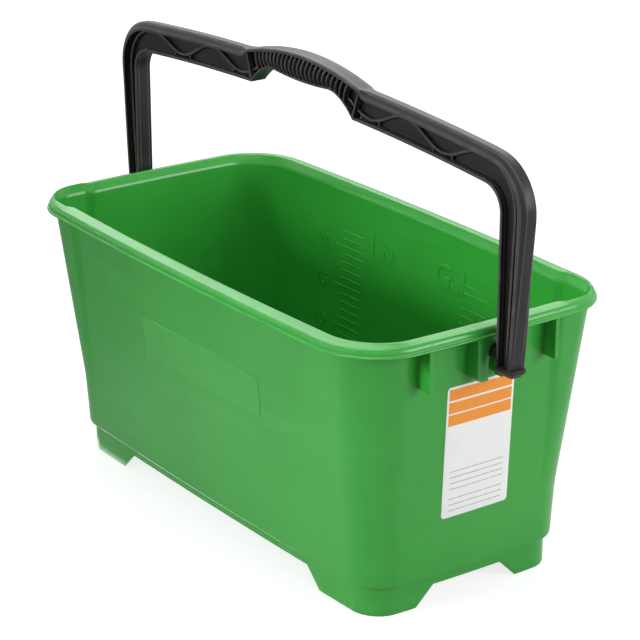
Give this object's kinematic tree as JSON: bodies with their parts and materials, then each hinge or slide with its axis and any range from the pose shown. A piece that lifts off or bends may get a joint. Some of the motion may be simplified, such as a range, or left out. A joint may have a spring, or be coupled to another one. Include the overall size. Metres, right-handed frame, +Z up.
{
  "type": "rectangular bucket",
  "caption": "Long rectangular bucket with pouring corners, feet and bearings at both ends, and a ribbed bail handle that swings on snap-in pins.",
  "frame": {"origin": "on the ground plane under the middle of the tub's floor", "axes": "+X along the length towards the labelled end, +Y across the width towards the graduated wall, +Z up"},
  "size_m": [0.6322, 0.2992, 0.44],
  "materials": {
    "tub": "satin-gloss injection-moulded polypropylene, green",
    "handle": "satin injection-moulded polypropylene, near black",
    "label": "white film label"
  },
  "bodies": {
    "tub": {"tub": "tub", "label": "label"},
    "handle": {"handle": "handle"}
  },
  "joints": [
    {"name": "handle_swing", "type": "hinge", "parent": "tub", "child": "handle", "pos_m": [0, 0, 0.24], "axis": [1, 0, 0], "range_deg": [-124, 124]}
  ]
}
